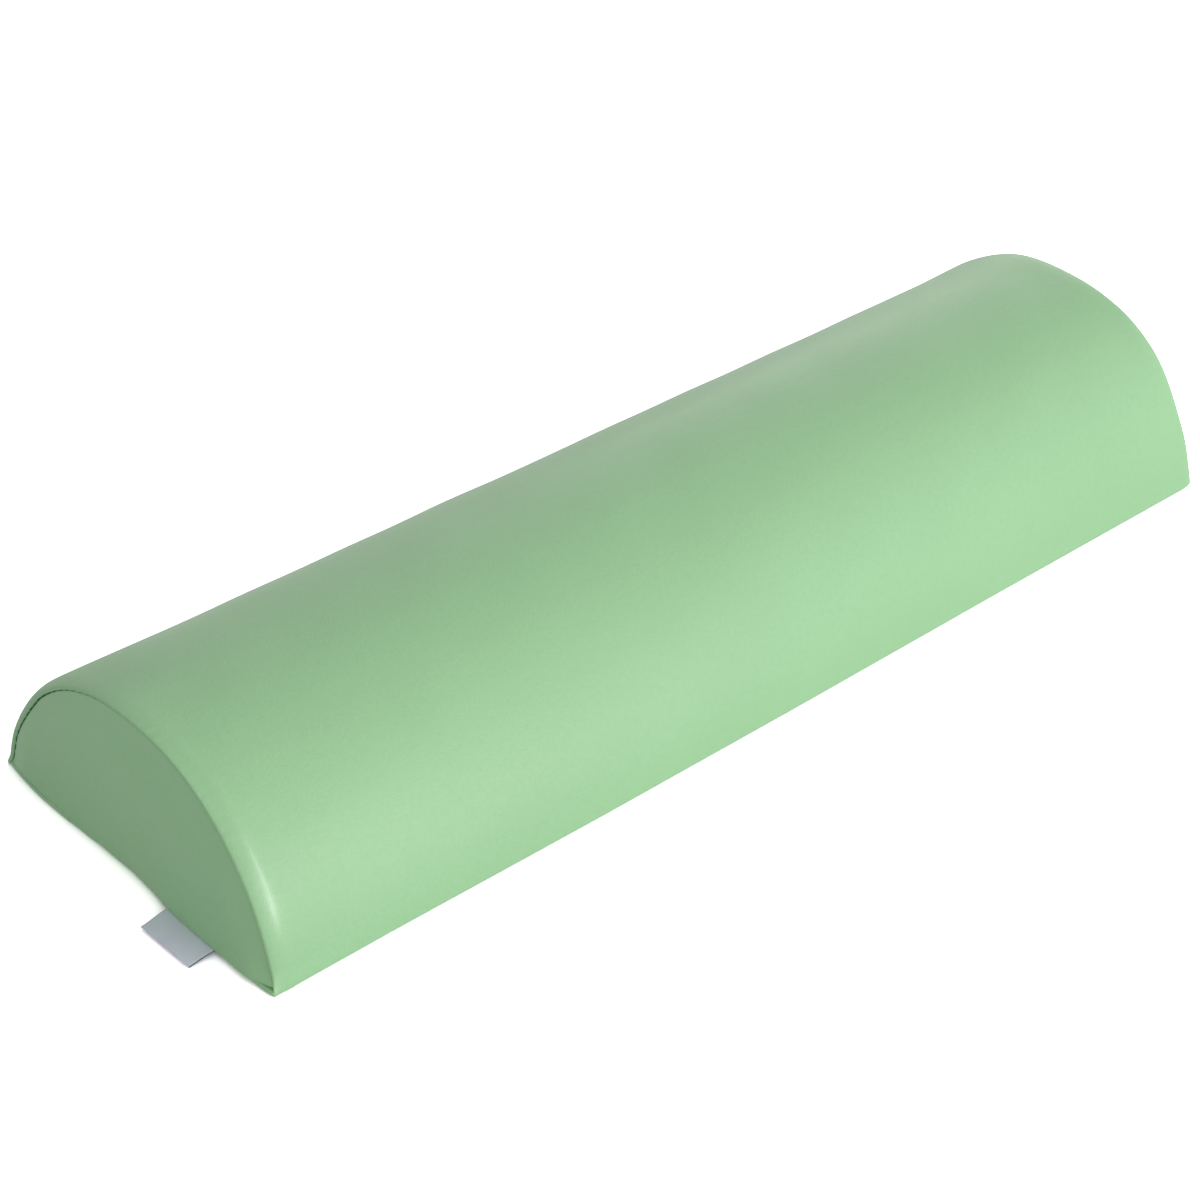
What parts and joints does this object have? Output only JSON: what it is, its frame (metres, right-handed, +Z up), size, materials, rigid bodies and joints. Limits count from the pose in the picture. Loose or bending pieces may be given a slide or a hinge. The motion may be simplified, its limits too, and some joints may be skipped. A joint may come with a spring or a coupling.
{
  "type": "half round bolster",
  "caption": "Half round foam bolster in a sewn faux leather cover, with a flat base that opens by a lengthwise zip and a blank woven side tag.",
  "frame": {"origin": "on the resting face, under the middle of the roll (halfway along it and halfway across it)", "axes": "+Z up out of the flat base, X along the roll with the tagged end at -X, +Y across towards the side the zip is nearer to"},
  "size_m": [0.621, 0.195, 0.084],
  "materials": {
    "cover": "satin light green faux leather with a fine grain",
    "foam": "cut polyurethane foam, matt",
    "woven_tag": "silver grey satin weave, blank",
    "zip_tape": "dark green herringbone tape",
    "zip_coil": "dark green nylon coil",
    "zip_metal": "nickel plated zinc",
    "thread": "dark green polyester sewing thread"
  },
  "bodies": {
    "cover": {"foam_core": "foam", "arch_panel": "cover", "near_end_panel": "cover", "far_end_panel": "cover", "base_panel_front": "cover", "base_panel_rear": "cover", "side_tag": "woven_tag", "zip_tape_front": "zip_tape", "zip_tape_rear": "zip_tape", "zip_coil_front": "zip_coil", "zip_coil_rear": "zip_coil", "zip_top_stop_front": "zip_metal", "zip_top_stop_rear": "zip_metal", "zip_bottom_stop": "zip_metal", "thread_near_arc": "thread", "thread_far_arc": "thread", "thread_front_edge": "thread", "thread_rear_edge": "thread", "thread_near_foot_front": "thread", "thread_near_foot_rear": "thread", "thread_far_foot": "thread", "thread_zip_front": "thread", "thread_zip_rear": "thread"},
    "slider": {"zip_slider": "zip_metal"},
    "pull": {"zip_pull": "zip_metal"}
  },
  "joints": [
    {"name": "zip_slide", "type": "slide", "parent": "cover", "child": "slider", "axis": [-1, 0, 0], "range_m": [0, 0.48]},
    {"name": "zip_pull_hinge", "type": "hinge", "parent": "slider", "child": "pull", "pos_m": [0.24, 0.045, 0.00285], "axis": [0, -1, 0], "range_deg": [-4, 174]}
  ]
}
